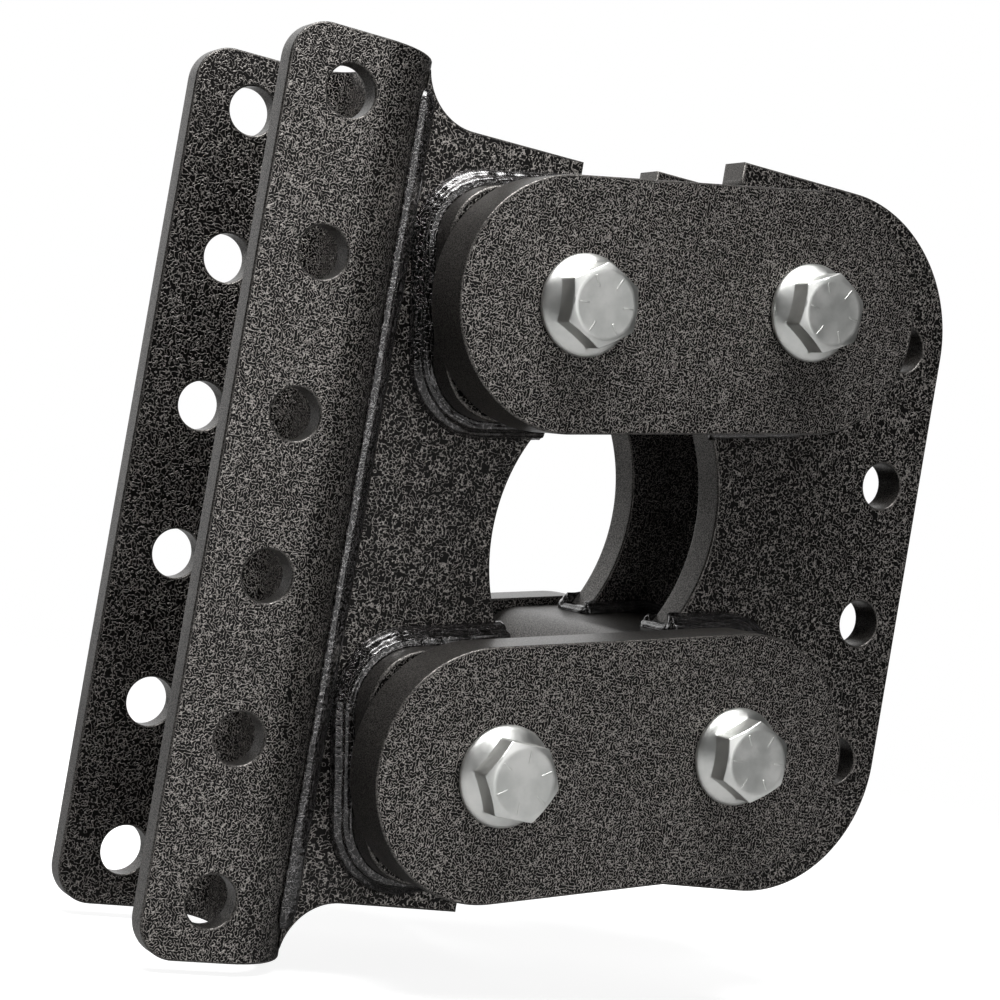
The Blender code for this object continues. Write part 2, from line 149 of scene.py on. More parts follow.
def arc(center, radius, start, end):
    """Points along an arc, its two ends included; the angles are in degrees."""
    length = radius * abs(math.radians(end - start))
    steps = max(8, round(length / POINT_SPACING))
    points = []
    for step in range(steps + 1):
        angle = math.radians(start + (end - start) * step / steps)
        points.append(Vector((center[0] + radius * math.cos(angle),
                              center[1] + radius * math.sin(angle))))
    return points


def circle(center, radius):
    return arc(center, radius, 0, 360)[:-1]


def rounded_square(half_width, radius, center=(0.0, 0.0), angle=0.0):
    straight = half_width - radius
    turn = Matrix.Rotation(angle, 2)
    outline = []
    for quarter, (side_x, side_z) in enumerate(((1, 1), (-1, 1), (-1, -1), (1, -1))):
        middle = (side_x * straight, side_z * straight)
        outline += arc(middle, radius, 90 * quarter, 90 * (quarter + 1))
    return [turn @ point + Vector(center) for point in outline]


def tube_outline(kind, level, grow=0.0):
    pivot = PIVOTS[kind, level]
    return rounded_square(TUBE_HALF_WIDTH + grow, TUBE_CORNER_RADIUS + grow,
                          (pivot.x, pivot.z), TILT)


def spaced(outline):
    """The outline without points that nearly coincide."""
    kept = []
    for point in outline:
        if not kept or (point - kept[-1]).length > LEAST_SPACING:
            kept.append(point)
    if (kept[0] - kept[-1]).length <= LEAST_SPACING:
        kept.pop()
    return kept


def spaced_open(line):
    """The same for a line that isn't closed."""
    kept = [line[0]]
    for point in line[1:]:
        if (point - kept[-1]).length > LEAST_SPACING:
            kept.append(point)
    return kept


def crossing(first, second, third, fourth):
    """Where the segment from first to second crosses that from third to fourth, or None."""
    way = second - first
    other_way = fourth - third
    scale = way.cross(other_way)
    if scale == 0.0:
        return None
    share = (third - first).cross(other_way) / scale
    other_share = (third - first).cross(way) / scale
    if 0.0 <= share < 1.0 and 0.0 <= other_share < 1.0:
        return first + way * share
    return None


def bite(outline, cutter):
    """The outline less the cutter's area, and the stretch that the cutter gave it.

    Both run counter-clockwise, and their edges cross exactly twice.
    """
    for i, first in enumerate(outline):
        second = outline[(i + 1) % len(outline)]
        for j, third in enumerate(cutter):
            fourth = cutter[(j + 1) % len(cutter)]
            point = crossing(first, second, third, fourth)
            if point is None:
                continue
            if (fourth - third).cross(second - first) > 0:
                enter_i, enter_j, enter = i, j, point
            else:
                leave_i, leave_j, leave = i, j, point
    kept = [outline[(leave_i + 1) % len(outline)]]
    i = (leave_i + 1) % len(outline)
    while i != enter_i:
        i = (i + 1) % len(outline)
        kept.append(outline[i])
    seam = [enter]
    j = enter_j
    while j != leave_j:
        seam.append(cutter[j])
        j = (j - 1) % len(cutter)
    seam.append(leave)
    return spaced(kept + seam), spaced_open(seam)


def offset(outline, distance):
    """Each point moved to its left of the way round by distance: inwards if counter-clockwise."""
    moved = []
    count = len(outline)
    for i, point in enumerate(outline):
        before = (point - outline[i - 1]).normalized()
        after = (outline[(i + 1) % count] - point).normalized()
        normal = Vector((-before.y - after.y, before.x + after.x))
        normal.normalize()
        cosine = max(0.5, normal.x * -before.y + normal.y * before.x)
        moved.append(point + normal * (distance / cosine))
    return moved


def hole_column(rows):
    return [(row - (rows - 1) / 2) * HOLE_PITCH for row in range(rows)]


# ------------------------------------------------------------ meshes

def rounded_prism(outer, holes, low, high, radius=EDGE_RADIUS, layers=1):
    """A bmesh of a plate in the XZ plane, from Y = low to high, with rounded edges.

    outer runs counter-clockwise and the holes clockwise. The faces of its sides and rounded
    edges carry the attribute "wall" with the value 1, and its two flat faces 0.
    """
    work = bmesh.new()
    wall = work.faces.layers.float.new("wall")
    levels = []
    for step in range(EDGE_STEPS + 1):
        angle = math.pi / 2 * step / EDGE_STEPS
        levels.append((radius * (1 - math.sin(angle)), radius * (1 - math.cos(angle))))
    rows = [(inset, low + rise) for inset, rise in levels]
    rows += [(0.0, low + radius + (high - low - 2 * radius) * layer / layers)
             for layer in range(1, layers)]
    rows += [(inset, high - rise) for inset, rise in reversed(levels)]
    loops = [outer] + holes
    rings = []
    for loop in loops:
        ring = []
        for inset, y in rows:
            ring.append([work.verts.new((p.x, y, p.y)) for p in offset(loop, inset)])
        rings.append(ring)
        count = len(loop)
        for lower, upper in zip(ring, ring[1:]):
            for i in range(count):
                j = (i + 1) % count
                face = work.faces.new((lower[i], lower[j], upper[j], upper[i]))
                face[wall] = 1.0
    for row in (0, -1):
        flat = [vert for ring in rings for vert in ring[row]]
        shape = [[vert.co.xzy for vert in ring[row]] for ring in rings]
        for triangle in tessellate_polygon(shape):
            work.faces.new([flat[number] for number in triangle])
    bmesh.ops.recalc_face_normals(work, faces=work.faces)
    return work


def finish_mesh(work, name):
    """Turn a bmesh into a smooth shaded mesh, and free it."""
    mesh = bpy.data.meshes.new(name)
    work.to_mesh(mesh)
    work.free()
    mesh.shade_smooth()
    return mesh


def add_piece(name, mesh, body, material, slot, *nodes):
    """A visible piece that rides a body and stands for the given CAD nodes."""
    piece = bpy.data.objects.new(name, mesh)
    bpy.context.scene.collection.objects.link(piece)
    mesh.materials.clear()
    mesh.materials.append(material)
    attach(piece, body)
    if nodes:
        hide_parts(*nodes)
    return piece


def weight_normals(piece):
    """Flat faces keep their flat shading and their rounded edges blend into them."""
    modifier = piece.modifiers.new("flat faces", "WEIGHTED_NORMAL")
    modifier.weight = 100
    modifier.keep_sharp = True


def cut_mesh(mesh, cutters):
    """The mesh after Boolean differences with other meshes."""
    target = bpy.data.objects.new("target", mesh)
    bpy.context.scene.collection.objects.link(target)
    helpers = []
    for cutter in cutters:
        helper = bpy.data.objects.new("cutter", cutter)
        bpy.context.scene.collection.objects.link(helper)
        helpers.append(helper)
        modifier = target.modifiers.new("cut", "BOOLEAN")
        modifier.object = helper
        modifier.operation = "DIFFERENCE"
        modifier.solver = "EXACT"
    bpy.context.view_layer.update()
    evaluated = target.evaluated_get(bpy.context.evaluated_depsgraph_get())
    result = bpy.data.meshes.new_from_object(evaluated)
    for obj in [target] + helpers:
        bpy.data.objects.remove(obj, do_unlink=True)
    return result


# ------------------------------------------------------------ painted steel pieces

def bend_surface_x(y):
    """The channel's outer face at a distance y from the middle, with the plates' clearance."""
    over = max(0.0, abs(y) - (CHANNEL_HALF_WIDTH - BEND_OUTER_RADIUS))
    radius = BEND_OUTER_RADIUS + GAP
    return WEB_OUTER_X - BEND_OUTER_RADIUS + math.sqrt(radius ** 2 - over ** 2)


def coupler_plate_outline():
    root_x = bend_surface_x(PLATE_OUTER_Y)
    end_x = COUPLER_PLATE_END_X
    window_x = PIVOTS["coupler", "upper"].x + WINDOW_EDGE_X + WINDOW_RADIUS
    half_angle = math.degrees(math.acos((window_x - end_x) / WINDOW_RADIUS))
    fillet_x = PLATE_ROOT_X + ROOT_FILLET_RADIUS
    fillet_z = PLATE_HALF_HEIGHT + ROOT_FILLET_RADIUS
    outline = arc((fillet_x, fillet_z), ROOT_FILLET_RADIUS, ROOT_FILLET_START, 270)
    root_z = outline[0].y
    outline.append(Vector((end_x, PLATE_HALF_HEIGHT)))
    outline += arc((window_x, 0.0), WINDOW_RADIUS, 180 - half_angle, 180 + half_angle)
    outline.append(Vector((end_x, -PLATE_HALF_HEIGHT)))
    outline += arc((fillet_x, -fillet_z), ROOT_FILLET_RADIUS, 90, 360 - ROOT_FILLET_START)
    outline += [Vector((root_x, -root_z)), Vector((root_x, root_z))]
    outline.reverse()
    return spaced(outline)


def trailer_plate_outline():
    middle_z = LINK_STEP.z
    axis_x = PIVOTS["trailer", "upper"].x
    end_x = axis_x - PLATE_OVERRUN
    window_x = axis_x + WINDOW_EDGE_X - WINDOW_RADIUS
    half_angle = math.degrees(math.acos((end_x - window_x) / WINDOW_RADIUS))
    corner_x = TRAILER_PLATE_HIGH.x - TRAILER_CORNER_RADIUS
    corner_z = PLATE_HALF_HEIGHT - TRAILER_CORNER_RADIUS
    outline = [Vector((end_x, middle_z - PLATE_HALF_HEIGHT))]
    outline += arc((corner_x, middle_z - corner_z), TRAILER_CORNER_RADIUS, -90, 0)
    outline += arc((corner_x, middle_z + corner_z), TRAILER_CORNER_RADIUS, 0, 90)
    outline.append(Vector((end_x, middle_z + PLATE_HALF_HEIGHT)))
    outline += arc((window_x, middle_z), WINDOW_RADIUS, half_angle, -half_angle)
    return spaced(outline)


def make_plates(kind, outline, body, holes, material):
    """The two side plates of a frame. Returns the seams along which its tubes are welded in."""
    seams = {}
    for level in LEVELS:
        outline, seams[level] = bite(outline, tube_outline(kind, level, GAP))
    for side, sign in SIDES.items():
        faces = sorted((sign * PLATE_OUTER_Y, sign * (PLATE_OUTER_Y - PLATE_THICKNESS)))
        work = rounded_prism(outline, holes, *faces, layers=PLATE_SIDE_LAYERS)
        if kind == "coupler":
            for vert in work.verts:
                vert.co.x = max(vert.co.x, bend_surface_x(vert.co.y))
        node = f"{kind}_plate_{side}"
        mesh = finish_mesh(work, node)
        weight_normals(add_piece(f"painted_{node}", mesh, body, material, "powder_coat", node))
    return seams


def make_tubes(kind, body, material):
    for level in LEVELS:
        inner = rounded_square(TUBE_HALF_WIDTH - TUBE_WALL, TUBE_CORNER_RADIUS - TUBE_WALL,
                               (PIVOTS[kind, level].x, PIVOTS[kind, level].z), TILT)
        inner.reverse()
        work = rounded_prism(spaced(tube_outline(kind, level)), [spaced(inner)],
                             -TUBE_HALF_LENGTH, TUBE_HALF_LENGTH, TUBE_EDGE_RADIUS)
        node = f"{kind}_tube_{level}"
        piece = add_piece(f"painted_{node}", finish_mesh(work, node), body, material,
                          "powder_coat", node)
        weight_normals(piece)


def link_frame(level):
    """Matrix from a link's own frame, X along it from the coupler pivot, to the world."""
    return Matrix.Translation(PIVOTS["coupler", level]) @ Matrix.Rotation(-TILT, 4, "Y")


def make_links(level, material):
    overhang = (LINK_ARC_PITCH - LINK_PITCH) / 2
    outline = arc((-overhang, 0.0), LINK_HALF_WIDTH, 90, 270)
    outline += arc((LINK_PITCH + overhang, 0.0), LINK_HALF_WIDTH, -90, 90)
    pivots = (0.0, LINK_PITCH)
    holes = [circle((x, 0.0), HOLE_RADIUS)[::-1] for x in pivots]
    for side, sign in SIDES.items():
        faces = sorted((sign * LINK_INNER_Y, sign * LINK_OUTER_Y))
        mesh = finish_mesh(rounded_prism(spaced(outline), holes, *faces), "link")
        cutters = []
        for x in pivots:
            seat = rounded_square(CORE_HALF_WIDTH + GAP, CORE_CORNER_RADIUS + GAP, (x, 0.0),
                                  math.radians(45))
            depth = sorted((sign * (LINK_INNER_Y - POCKET_DEPTH),
                            sign * (LINK_INNER_Y + POCKET_DEPTH)))
            cutter = rounded_prism(seat, [], *depth, SEAT_EDGE_RADIUS)
            cutters.append(finish_mesh(cutter, "seat"))
        mesh = cut_mesh(mesh, cutters)
        mesh.transform(link_frame(level))
        node = f"link_{level}_{side}"
        piece = add_piece(f"painted_{node}", mesh, f"{level}_links", material,
                          "powder_coat", node)
        weight_normals(piece)


def bend_point(across, depth):
    """Where a point of the flat blank ends up in plan once the channel is bent.

    across is the distance from the blank's middle line, and depth that below its outer face.
    """
    neutral = BEND_OUTER_RADIUS - CHANNEL_THICKNESS / 2
    flat_half = CHANNEL_HALF_WIDTH - BEND_OUTER_RADIUS
    bend_length = neutral * math.pi / 2
    sign = 1 if across >= 0 else -1
    along = abs(across)
    if along <= flat_half:
        return WEB_OUTER_X - depth, across
    if along <= flat_half + bend_length:
        angle = (along - flat_half) / neutral
        radius = BEND_OUTER_RADIUS - depth
        return (WEB_OUTER_X - BEND_OUTER_RADIUS + radius * math.cos(angle),
                sign * (flat_half + radius * math.sin(angle)))
    rest = along - flat_half - bend_length
    return WEB_OUTER_X - BEND_OUTER_RADIUS - rest, sign * (CHANNEL_HALF_WIDTH - depth)


def blank_outline(half_width, half_height):
    """The channel's flat blank: a rectangle with rounded corners."""
    corner_x = half_width - FLANGE_CORNER_RADIUS
    corner_z = half_height - FLANGE_CORNER_RADIUS
    outline = []
    for quarter, (side_x, side_z) in enumerate(((1, -1), (1, 1), (-1, 1), (-1, -1))):
        start = 90 * (quarter - 1)
        middle = (side_x * corner_x, side_z * corner_z)
        outline += arc(middle, FLANGE_CORNER_RADIUS, start, start + 90)
    return spaced(outline)


def make_channel(material):
    """Cut the channel's flat blank with its holes and rounded corners, then bend it twice."""
    neutral = BEND_OUTER_RADIUS - CHANNEL_THICKNESS / 2
    flat_half = CHANNEL_HALF_WIDTH - BEND_OUTER_RADIUS
    bend_end = flat_half + neutral * math.pi / 2
    flange_start_x = WEB_OUTER_X - BEND_OUTER_RADIUS
    half_blank = bend_end + flange_start_x - FLANGE_END_X
    hole_across = bend_end + flange_start_x - CHANNEL_HOLE_X
    outline = blank_outline(half_blank, CHANNEL_HALF_HEIGHT)
    holes = [circle((sign * hole_across, z), HOLE_RADIUS)[::-1]
             for sign in SIDES.values() for z in hole_column(CHANNEL_HOLE_ROWS)]
    work = rounded_prism(outline, holes, 0.0, CHANNEL_THICKNESS)
    for sign in SIDES.values():
        for step in range(BEND_STEPS + 1):
            across = sign * (flat_half + (bend_end - flat_half) * step / BEND_STEPS)
            everything = work.verts[:] + work.edges[:] + work.faces[:]
            bmesh.ops.bisect_plane(work, geom=everything, plane_co=(across, 0, 0),
                                   plane_no=(1, 0, 0), dist=1e-6)
    for vert in work.verts:
        x, y = bend_point(vert.co.x, vert.co.y)
        vert.co.x = x
        vert.co.y = y
    bmesh.ops.recalc_face_normals(work, faces=work.faces)
    piece = add_piece("painted_coupler_channel", finish_mesh(work, "coupler_channel"),
                      "channel_frame", material, "powder_coat", "coupler_channel")
    weight_normals(piece)


# ------------------------------------------------------------ weld beads

BEAD_LEG = 6.2 * MM                  # how far a bead reaches up each of the two faces
BEAD_ROWS = 14                       # steps across a bead
BEAD_STEP = 0.7 * MM                 # steps along it
RIPPLE_PITCH = 2.6 * MM
END_SCALE = 0.42                     # a tube bead's size where it rounds a plate's end
INNER_SCALE = 0.7                    # and on the plate's inner face
BEAD_PASSES = ((0.30, 0.16, 0.16), (0.72, 0.15, 0.20))   # place and width across, height
BEAD_BULGE = 0.10
RIPPLE_HEIGHT = 0.022
WANDER_HEIGHT = 0.07
WANDER_LENGTH = 9 * MM
WEB_LEG_OUTER = 4.6 * MM             # the beads along the channel are lower and flatter
WEB_LEG_INNER = 5.0 * MM
WEB_CROWN = 0.35
WEB_SEED = 40


def resampled(line, spacing):
    """The line's entries evenly spaced, each with its distance along the line at the end."""
    lengths = [0.0]
    for first, second in zip(line, line[1:]):
        turn = (second[2] - first[2]).length * BEAD_LEG * 0.5
        lengths.append(lengths[-1] + (second[0] - first[0]).length + turn)
    count = max(2, round(lengths[-1] / spacing))
    result = []
    segment = 0
    for step in range(count + 1):
        goal = lengths[-1] * step / count
        while segment < len(line) - 2 and lengths[segment + 1] < goal:
            segment += 1
        span = lengths[segment + 1] - lengths[segment]
        share = 0.0 if span < 1e-9 else (goal - lengths[segment]) / span
        before, after = line[segment], line[segment + 1]
        corner, face_a, face_b = (before[i].lerp(after[i], share) for i in range(3))
        scale = before[3] + (after[3] - before[3]) * share
        result.append((corner, face_a.normalized(), face_b.normalized(), scale, goal))
    return result


def bead_radius(share, along, seed, crown):
    """Distance of a bead's surface from its corner as a share of its leg.

    share goes from one toe (0) to the other (1), over two lapped passes with fine ripples.
    """
    flat = 1 / (math.cos(share * math.pi / 2) + math.sin(share * math.pi / 2))
    passes = sum(height * crown * math.exp(-((share - place) / width) ** 2)
                 for place, width, height in BEAD_PASSES)
    bulge = BEAD_BULGE * math.sin(share * math.pi)
    phase = along / RIPPLE_PITCH - 1.1 * (share - 0.5) ** 2
    ripple = RIPPLE_HEIGHT * math.sin(2 * math.pi * phase) * math.sin(share * math.pi)
    wander = WANDER_HEIGHT * noise.noise(Vector((along / WANDER_LENGTH, 2.3 * share, seed)))
    return flat * (1 + passes + bulge + ripple + wander)


def bead_mesh(line, seed, closed, leg=BEAD_LEG, crown=1.0):
    """A weld bead swept along a corner.

    Each entry of the line holds the corner's point, the directions up its two faces and the
    bead's size there, as a share of leg.
    """
    points = resampled(line, BEAD_STEP)
    total = points[-1][-1]
    if closed:
        points.pop()
    work = bmesh.new()
    rings = []
    for corner, face_a, face_b, scale, along in points:
        taper = 1.0
        if not closed:
            reach = min(along, total - along) / (1.6 * leg)
            taper = math.sqrt(max(0.02, 1 - (1 - min(1.0, reach)) ** 2))
        loop_along = along
        if closed:
            loop_along = total / (2 * math.pi) * math.sin(2 * math.pi * along / total) + along
        sunk = corner - (face_a + face_b) * (0.25 * MM)
        ring = [work.verts.new(sunk)]
        for row in range(BEAD_ROWS + 1):
            share = row / BEAD_ROWS
            radius = leg * scale * taper * bead_radius(share, loop_along, seed, crown)
            ring.append(work.verts.new(sunk + radius * face_a.slerp(face_b, share)))
        rings.append(ring)
    pairs = list(zip(rings, rings[1:]))
    if closed:
        pairs.append((rings[-1], rings[0]))
    for first, second in pairs:
        for i in range(len(first)):
            j = (i + 1) % len(first)
            work.faces.new((first[i], first[j], second[j], second[i]))
    if not closed:
        work.faces.new(rings[0])
        work.faces.new(rings[-1][::-1])
    bmesh.ops.recalc_face_normals(work, faces=work.faces)
    return finish_mesh(work, "weld_bead")


def tube_seam_line(seam, kind, level, sign):
    """The closed corner round a plate's contact with a tube: outer face, end, inner face, end."""
    outer_y = sign * PLATE_OUTER_Y
    inner_y = sign * (PLATE_OUTER_Y - PLATE_THICKNESS)
    outline = tube_outline(kind, level)
    across = []
    for point in seam:
        nearest = min(range(len(outline)), key=lambda i: (outline[i] - point).length)
        along = outline[(nearest + 1) % len(outline)] - outline[nearest - 1]
        normal = Vector((along.y, 0.0, -along.x)).normalized()
        across.append(normal)
    ends = ((seam[0] - seam[1]).normalized(), (seam[-1] - seam[-2]).normalized())
    start_way = Vector((ends[0].x, 0.0, ends[0].y))
    end_way = Vector((ends[1].x, 0.0, ends[1].y))
    outwards = Vector((0.0, sign, 0.0))

    def corner(index, y):
        return Vector((seam[index].x, y, seam[index].y))

    def round_the_end(index, end_way):
        """From the outer face over the plate's end to its inner face."""
        ways = ((outer_y, (outwards + end_way).normalized()), (outer_y, end_way),
                (inner_y, end_way), (inner_y, (end_way - outwards).normalized()))
        return [(corner(index, y), across[index], way, END_SCALE) for y, way in ways]

    count = len(seam)
    line = [(corner(i, outer_y), across[i], outwards, 1.0) for i in range(count)]
    line += round_the_end(-1, end_way)
    line += [(corner(i, inner_y), across[i], -outwards, INNER_SCALE)
             for i in range(count - 1, -1, -1)]
    line += round_the_end(0, start_way)[::-1]
    line.append(line[0])
    return line


def make_tube_welds(seams, kind, body, material):
    for level in LEVELS:
        for side, sign in SIDES.items():
            line = tube_seam_line(seams[level], kind, level, sign)
            seed = 10 * KINDS.index(kind) + 4 * LEVELS.index(level) + sign
            mesh = bead_mesh(line, seed, closed=True)
            add_piece(f"weld_{kind}_tube_{level}_{side}", mesh, body, material, "powder_coat")


def make_web_welds(material):
    """The upright beads between the channel and its side plates, outside and inside."""
    fillet_top = PLATE_HALF_HEIGHT + ROOT_FILLET_RADIUS * 0.5
    inner_y = PLATE_OUTER_Y - PLATE_THICKNESS
    for side, sign in SIDES.items():
        slope = math.asin((PLATE_OUTER_Y - CHANNEL_HALF_WIDTH + BEND_OUTER_RADIUS)
                          / BEND_OUTER_RADIUS)
        up_plate = Vector((1.0, 0.0, 0.0))
        up_bend = Vector((-math.sin(slope), sign * math.cos(slope), 0.0))
        up_web = Vector((0.0, -sign, 0.0))
        beads = (("outer", PLATE_OUTER_Y, up_bend, WEB_LEG_OUTER, fillet_top),
                 ("inner", inner_y, up_web, WEB_LEG_INNER, PLATE_HALF_HEIGHT))
        for place, y, up_channel, leg, top in beads:
            x = bend_surface_x(y)
            line = [(Vector((x, sign * y, z)), up_plate, up_channel, 1.0) for z in (top, -top)]
            mesh = bead_mesh(line, WEB_SEED + 2 * sign + y, closed=False, leg=leg, crown=WEB_CROWN)
            add_piece(f"weld_web_{place}_{side}", mesh, "channel_frame", material,
                      "powder_coat")


# ------------------------------------------------------------ bolts

BOLT_STEPS = 30                      # steps in a sixth of a turn
FLANGE_CONE_RADIUS = 0.53 * INCH
FLANGE_CONE_HEIGHT = 0.17 * INCH
HEX_TOP_RADIUS = 0.435 * INCH
HEX_CHAMFER_SLOPE = 0.5
HEX_EDGE_RADIUS = 0.5 * MM
MARK_INNER = 0.25 * INCH
MARK_OUTER = 0.40 * INCH
MARK_HALF_WIDTH = 0.28 * MM
MARK_HEIGHT = 0.22 * MM


def hex_radius(angle):
    """A hexagon's radius, with slightly rounded corners and flats facing 0 and 60 degrees."""
    turned = (angle + math.pi / 6) % (math.pi / 3) - math.pi / 6
    sharp = HEX_HALF_FLATS / math.cos(turned)
    corner = HEX_HALF_FLATS / math.cos(math.pi / 6) - 0.25 * HEX_EDGE_RADIUS
    return min(sharp, corner)


def cone_height(radius):
    """Height of the flange's slightly dished upper face at a radius."""
    share = (FLANGE_RADIUS - radius) / (FLANGE_RADIUS - FLANGE_CONE_RADIUS)
    return FLANGE_RIM + (FLANGE_CONE_HEIGHT - FLANGE_RIM) * share * (1.25 - 0.25 * share)


def bolt_mesh():
    """A hex flange bolt, its head up +Z from its flange's seat at Z = 0."""
    head_height = BOLT_TOP_Y - LINK_OUTER_Y - GAP
    hex_top = head_height - 0.25 * MM
    angles = [2 * math.pi * i / (6 * BOLT_STEPS) for i in range(6 * BOLT_STEPS)]

    def ring(radius_at, height_at):
        return [Vector((radius_at(a) * math.cos(a), radius_at(a) * math.sin(a), height_at(a)))
                for a in angles]

    def plain(radius, height):
        return ring(lambda a: radius, lambda a: height)

    def foot_height(angle):
        return cone_height(hex_radius(angle))

    def chamfer_height(angle):
        return hex_top - (hex_radius(angle) - HEX_TOP_RADIUS) * HEX_CHAMFER_SLOPE

    rim = 0.5 * MM
    rings = [
        plain(SHANK_RADIUS - 1.6 * MM, -SHANK_LENGTH), plain(SHANK_RADIUS, 1.6 * MM - SHANK_LENGTH),
        plain(SHANK_RADIUS, -0.8 * MM), plain(SHANK_RADIUS + 0.6 * MM, 0.0),
        plain(FLANGE_RADIUS - rim, 0.0), plain(FLANGE_RADIUS - 0.3 * rim, 0.3 * rim),
        plain(FLANGE_RADIUS, rim), plain(FLANGE_RADIUS, FLANGE_RIM - rim),
        plain(FLANGE_RADIUS - 0.3 * rim, FLANGE_RIM - 0.3 * rim),
        plain(FLANGE_RADIUS - rim, cone_height(FLANGE_RADIUS - rim)),
        plain(FLANGE_CONE_RADIUS + 1.6 * MM, cone_height(FLANGE_CONE_RADIUS + 1.6 * MM)),
        ring(lambda a: hex_radius(a) + 0.7 * MM, lambda a: cone_height(hex_radius(a) + 0.7 * MM)),
        ring(lambda a: hex_radius(a) + 0.15 * MM, lambda a: foot_height(a) + 0.15 * MM),
        ring(hex_radius, lambda a: foot_height(a) + 0.7 * MM),
        ring(hex_radius, lambda a: chamfer_height(a) - 0.2 * MM),
        ring(lambda a: hex_radius(a) - 0.2 * MM, lambda a: chamfer_height(a) + 0.08 * MM),
        plain(HEX_TOP_RADIUS + 0.2 * MM, hex_top - 0.12 * MM),
        plain(HEX_TOP_RADIUS - 0.3 * MM, hex_top + 0.02 * MM),
        plain(HEX_TOP_RADIUS - 1.2 * MM, hex_top),
    ]
    work = bmesh.new()
    loops = [[work.verts.new(point) for point in points] for points in rings]
    count = len(angles)
    for lower, upper in zip(loops, loops[1:]):
        for i in range(count):
            j = (i + 1) % count
            work.faces.new((lower[i], lower[j], upper[j], upper[i]))
    work.faces.new(loops[0][::-1])
    work.faces.new(loops[-1])
    bmesh.ops.recalc_face_normals(work, faces=work.faces)
    mesh = finish_mesh(work, "bolt")
    return mesh, hex_top


def mark_meshes(hex_top):
    """Six raised radial grade marks, as on any grade 8 bolt."""
    marks = []
    for sixth in range(6):
        outline = [Vector((MARK_INNER, -MARK_HALF_WIDTH)), Vector((MARK_OUTER, -MARK_HALF_WIDTH)),
                   Vector((MARK_OUTER, MARK_HALF_WIDTH)), Vector((MARK_INNER, MARK_HALF_WIDTH))]
        work = rounded_prism(outline, [], -MARK_HEIGHT, MARK_HEIGHT, 0.1 * MM)
        mesh = finish_mesh(work, "mark")
        mesh.transform(Matrix.Rotation(sixth * math.pi / 3, 4, "Z")
                       @ Matrix.Translation((0.0, 0.0, hex_top))
                       @ Matrix.Rotation(-math.pi / 2, 4, "X"))
        marks.append(mesh)
    return marks


def joined(meshes, name):
    work = bmesh.new()
    for mesh in meshes:
        work.from_mesh(mesh)
    return finish_mesh(work, name)


# How far each bolt's hexagon is turned, and where its grade marks lie
BOLT_TURNS = {
    ("coupler", "upper"): math.radians(3), ("trailer", "upper"): math.radians(-4),
    ("coupler", "lower"): math.radians(26), ("trailer", "lower"): math.radians(2),
}


def make_bolts(material):
    mesh, hex_top = bolt_mesh()
    whole = joined([mesh] + mark_meshes(hex_top), "flange_bolt")
    whole.set_sharp_from_angle(angle=math.radians(28))
    for (kind, level), pivot in PIVOTS.items():
        for side, sign in SIDES.items():
            node = f"bolt_{kind}_{level}_{side}"
            place = (Matrix.Translation((pivot.x, sign * (LINK_OUTER_Y + GAP), pivot.z))
                     @ Matrix.Rotation(-BOLT_TURNS[kind, level], 4, "Y")
                     @ Matrix.Rotation(-sign * math.pi / 2, 4, "X"))
            copy = whole.copy()
            copy.transform(place)
            add_piece(f"plated_{node}", copy, f"{level}_links", material, "zinc_plate", node)


# ------------------------------------------------------------ materials

class Nodes:
    """Short calls for building a material's node tree."""

    def __init__(self, name):
        self.material = bpy.data.materials.new(name)
        self.material.use_nodes = True
        self.tree = self.material.node_tree
        self.shader = self.tree.nodes["Principled BSDF"]

    def add(self, kind, inputs=None, **settings):
        node = self.tree.nodes.new(kind)
        for key, value in settings.items():
            setattr(node, key, value)
        for key, value in (inputs or {}).items():
            self.set(node, key, value)
        return node

    def set(self, node, key, value):
        if isinstance(value, bpy.types.NodeSocket):
            self.tree.links.new(value, node.inputs[key])
        else:
            node.inputs[key].default_value = value

    def noise(self, vector, scale, detail=2.0, roughness=0.5, distortion=0.0):
        node = self.add("ShaderNodeTexNoise", {"Vector": vector, "Scale": scale,
                                               "Detail": detail, "Roughness": roughness,
                                               "Distortion": distortion})
        return node.outputs["Fac"]

    def math(self, operation, first, second=0.0):
        node = self.add("ShaderNodeMath", {0: first, 1: second}, operation=operation)
        return node.outputs[0]

    def remap(self, value, low, high, to_low=0.0, to_high=1.0):
        node = self.add("ShaderNodeMapRange", {"Value": value, "From Min": low, "From Max": high,
                                               "To Min": to_low, "To Max": to_high},
                        interpolation_type="SMOOTHSTEP")
        return node.outputs["Result"]

    def mix(self, factor, first, second):
        node = self.add("ShaderNodeMix", {0: factor, 6: first, 7: second}, data_type="RGBA")
        return node.outputs[2]

    def bump(self, height, distance, strength=1.0):
        node = self.add("ShaderNodeBump", {"Height": height, "Distance": distance,
                                           "Strength": strength})
        return node.outputs["Normal"]


COAT_DARK = (0.007, 0.0064, 0.006, 1.0)
COAT_SILVER = (0.56, 0.525, 0.495, 1.0)
COAT_DULL = (0.13, 0.121, 0.113, 1.0)
COAT_WELD = (0.24, 0.23, 0.24, 1.0)
COAT_WALL = (0.17, 0.16, 0.15, 1.0)
COAT_WALL_DARK = (0.018, 0.017, 0.016, 1.0)
VEIN_SCALE = 960.0                  # noise cells in a metre


